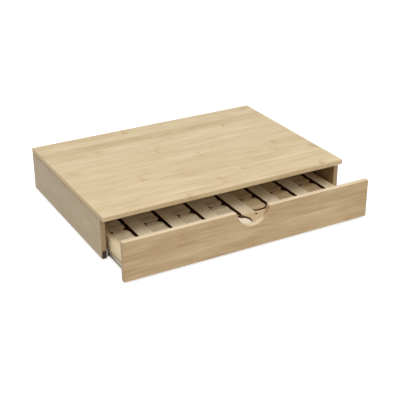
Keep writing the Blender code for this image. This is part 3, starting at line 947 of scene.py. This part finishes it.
# %% Sets of fasteners
CRISP_ANGLE = math.radians(35)


def fastener_set(name, outline, places, material, body, recess=None):
    """A set of equal fasteners as one piece, which moves with a body."""
    shape = bmesh.new()
    for at in places:
        turned(shape, outline, at)
    piece = mesh_object(name, shape, material)
    if recess is not None:
        cut_recesses(piece, places, recess, material)
    piece.data.shade_smooth()
    piece.data.set_sharp_from_angle(angle=CRISP_ANGLE)
    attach(piece, body)


print("fastener tools ready")

# %% [markdown]
# The steel of a screw is zinc-plated like the rails. The rack's pins are bare nails that
# have been blued dark. Both have a fine uneven grain, which noise gives from the place
# alone, and a head that is brightest at its worn rim.

# %% Materials of the fasteners
STEEL_EDGE = srgb(206, 200, 188)


def fastener_material(name, tones, roughness):
    """Small plated or blued steel parts, with a worn rim and uneven gloss."""
    material, tree, surface = new_material(name)
    place = add(tree, "ShaderNodeTexCoord").outputs["Object"]
    grain = noise(tree, place, 1800.0, 3.0)
    worn = use_group(tree, edge_group, Place=place, Width=0.0003)["Mask"]
    color = blend(tree, ramp(tree, grain, 0.3, 0.7), *tones)
    color = blend(tree, product(tree, worn, 0.5), color, STEEL_EDGE)
    feed(tree, surface["Base Color"], color)
    feed(tree, surface["Roughness"], ramp(tree, grain, 0.2, 0.8, roughness, roughness + 0.15))
    surface["Metallic"].default_value = 1.0
    emboss(tree, surface, grain, ROLLED_DEPTH, 0.4)
    return material


screw_steel = fastener_material("screw_steel", (srgb(206, 203, 194), srgb(182, 178, 168)), 0.34)
blued_steel = fastener_material("blued_steel", (srgb(46, 36, 30), srgb(30, 25, 22)), 0.45)
print("fastener finishes: screw_steel, blued_steel")

# %% [markdown]
# Short pins hold the rack down, three beside each seat strip but the first. Their places
# are measured from the strips, so they follow the rack. More of them, driven from below,
# hold the bottom panel to the three bearers.

# %% Pins
PIN = [
    (0, -11), (0.3, -10.2), (0.5, -9.2), (0.5, 0),
    (2.1, 0), (2.1, 0.05), (1.8, 0.13), (0, 0.16),
]
PIN_SIDE = 0.0034             # metres to the left of a strip
PIN_SETBACK = 0.01285         # metres past the strips' ends
PANEL_PIN_PITCH = 0.08
HEAD_DOWN = Matrix.Rotation(math.pi, 4, "X")

seats = [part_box(f"seat_strip_{number}") for number in range(2, 8)]
pin_rows = (SEATS_FROM - PIN_SETBACK, SEATS_MIDDLE, SEATS_TO + PIN_SETBACK)
pin_places = [
    Matrix.Translation((low[0] - PIN_SIDE, y, RACK_TOP))
    for low, _ in seats
    for y in pin_rows
]
fastener_set("rack_pins", PIN, pin_places, blued_steel, "drawer")

panel_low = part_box("drawer_bottom")[0][2]
bearers = [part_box(name) for name in ("rack_bearer_front", "rack_bearer_middle", "rack_bearer_back")]
panel_rows = [(low[1] + high[1]) / 2 for low, high in bearers]
panel_places = [
    Matrix.Translation((PANEL_PIN_PITCH * step, y, panel_low)) @ HEAD_DOWN
    for step in range(-2, 3)
    for y in panel_rows
]
fastener_set("panel_pins", PIN, panel_places, blued_steel, "drawer")
print("pins:", len(pin_places), "in the rack and", len(panel_places), "below")

# %% [markdown]
# Each rail is held by three screws. On the drawer's rail there is room for a low pan head
# inside the channel. The case's rail has none, because the stop tab of the drawer's rail
# passes over it, so its screws are countersunk and stay almost flush with the steel.

# %% Screws of the slides
PAN_SCREW = [
    (0, -6), (0.5, -5.2), (0.9, -4.4), (0.9, 0),
    (2.2, 0), (2.2, 0.35), (2.0, 0.8), (1.4, 1.1), (0, 1.2),
]
FLAT_SCREW = [
    (0, -5), (0.5, -4.2), (0.9, -3.4), (0.9, -1.2),
    (2.1, 0), (2.1, 0.04), (1.9, 0.12), (0, 0.15),
]
PAN_RECESS = (1.25, 1.6, 0.35)      # the punch's reach, top and bottom
FLAT_RECESS = (1.2, 0.6, -0.7)
RAIL_SHEET = 0.0007
SCREW_SHARES = (0.07, 0.5, 0.93)    # of the rail's length, from its front
QUARTER_TURN = math.pi / 2


def screw_rows(rail):
    """Where the screws of a rail stand along Y."""
    low, high = rail
    return [low[1] + share * (high[1] - low[1]) for share in SCREW_SHARES]


pan_places = []
flat_places = []
for side, sign in (("left", -1), ("right", 1)):
    drawer_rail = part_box(f"drawer_rail_{side}")
    case_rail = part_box(f"cabinet_rail_{side}")
    slide_z = (drawer_rail[0][2] + drawer_rail[1][2]) / 2
    drawer_web = min(abs(corner[0]) for corner in drawer_rail) + RAIL_SHEET
    case_web = max(abs(corner[0]) for corner in case_rail) - RAIL_SHEET
    outward = Matrix.Rotation(sign * QUARTER_TURN, 4, "Y")
    inward = Matrix.Rotation(-sign * QUARTER_TURN, 4, "Y")
    for y in screw_rows(drawer_rail):
        pan_places.append(Matrix.Translation((sign * drawer_web, y, slide_z)) @ outward)
    for y in screw_rows(case_rail):
        flat_places.append(Matrix.Translation((sign * case_web, y, slide_z)) @ inward)
fastener_set("drawer_rail_screws", PAN_SCREW, pan_places, screw_steel, "drawer", PAN_RECESS)
fastener_set("case_rail_screws", FLAT_SCREW, flat_places, screw_steel, "case", FLAT_RECESS)
print("screws:", len(pan_places), "on the drawer and", len(flat_places), "on the case")

# %% [markdown]
# The floor is pale and plain, and takes the unit's shadow. The camera also sees it glow,
# by so much that it ends up white where nothing shades it. A white picture behind the
# unit would lose that shadow.

# %% Floor
WHITE = (1, 1, 1, 1)
FLOOR_SIZE = 12.0
FLOOR_GREY = 0.62
FLOOR_LIFT = 0.69


def seen_directly(tree):
    """1 where a ray comes from the camera, a mirror or a glass, 0 elsewhere."""
    path = add(tree, "ShaderNodeLightPath").outputs
    seen = calc(tree, "MAXIMUM", path["Is Camera Ray"], path["Is Glossy Ray"])
    return calc(tree, "MAXIMUM", seen, path["Is Transmission Ray"])


def floor_material():
    """Pale matt grey, which glows for rays that see it directly."""
    material, tree, surface = new_material("pale_floor")
    surface["Base Color"].default_value = (FLOOR_GREY, FLOOR_GREY, FLOOR_GREY, 1)
    surface["Roughness"].default_value = 0.9
    surface["Specular IOR Level"].default_value = 0.1
    surface["Emission Color"].default_value = WHITE
    feed(tree, surface["Emission Strength"], product(tree, seen_directly(tree), FLOOR_LIFT))
    return material


shape = bmesh.new()
bmesh.ops.create_grid(shape, x_segments=8, y_segments=8, size=FLOOR_SIZE / 2)
floor_mesh = bpy.data.meshes.new("floor")
shape.to_mesh(floor_mesh)
shape.free()
floor_mesh.materials.append(floor_material())
floor = place_in_scene("floor", floor_mesh)
print("floor:", FLOOR_SIZE, "m wide")

# %% [markdown]
# The world is white in the same way as the floor, and lights the unit more weakly than it
# looks. Metal and lacquer mirror that white.

# %% World
AMBIENT = 0.50

world = bpy.data.worlds.new("studio")
world.use_nodes = True
sky = world.node_tree
background = sky.nodes["Background"].inputs
background["Color"].default_value = WHITE
lift = product(sky, seen_directly(sky), 1.0 - AMBIENT)
feed(sky, background["Strength"], total(sky, lift, AMBIENT))
bpy.context.scene.world = world
print("world:", AMBIENT, "of the light that it shows")

# %% [markdown]
# The shot is lit softly, with hardly any shadow on the floor. About half of the light on
# the top comes from the world. A large lamp overhead, a little to the front and the left,
# gives most of the rest. A weaker one in front, on the right, opens up the drawer, and the
# weakest clears the case's left side.

# %% Lamps
LAMP_AIM = Vector((0, 0, 0.03))


def add_lamp(name, place, size, watts):
    """A square soft lamp that points at the unit."""
    lamp = bpy.data.lights.new(name, "AREA")
    lamp.shape = "SQUARE"
    lamp.size = size
    lamp.energy = watts
    obj = place_in_scene(name, lamp)
    obj.location = place
    obj.rotation_euler = (LAMP_AIM - Vector(place)).to_track_quat("-Z", "Y").to_euler()


add_lamp("overhead_lamp", (-0.2, -0.6, 1.7), size=1.3, watts=17)
add_lamp("front_lamp", (0.8, -1.8, 1.1), size=1.2, watts=7)
add_lamp("left_lamp", (-1.9, -0.2, 0.9), size=1.0, watts=3.5)

# %% [markdown]
# Standard keeps colours as they are written, where a film-like view would grey them.

# %% Finish
bpy.context.scene.view_settings.view_transform = "Standard"
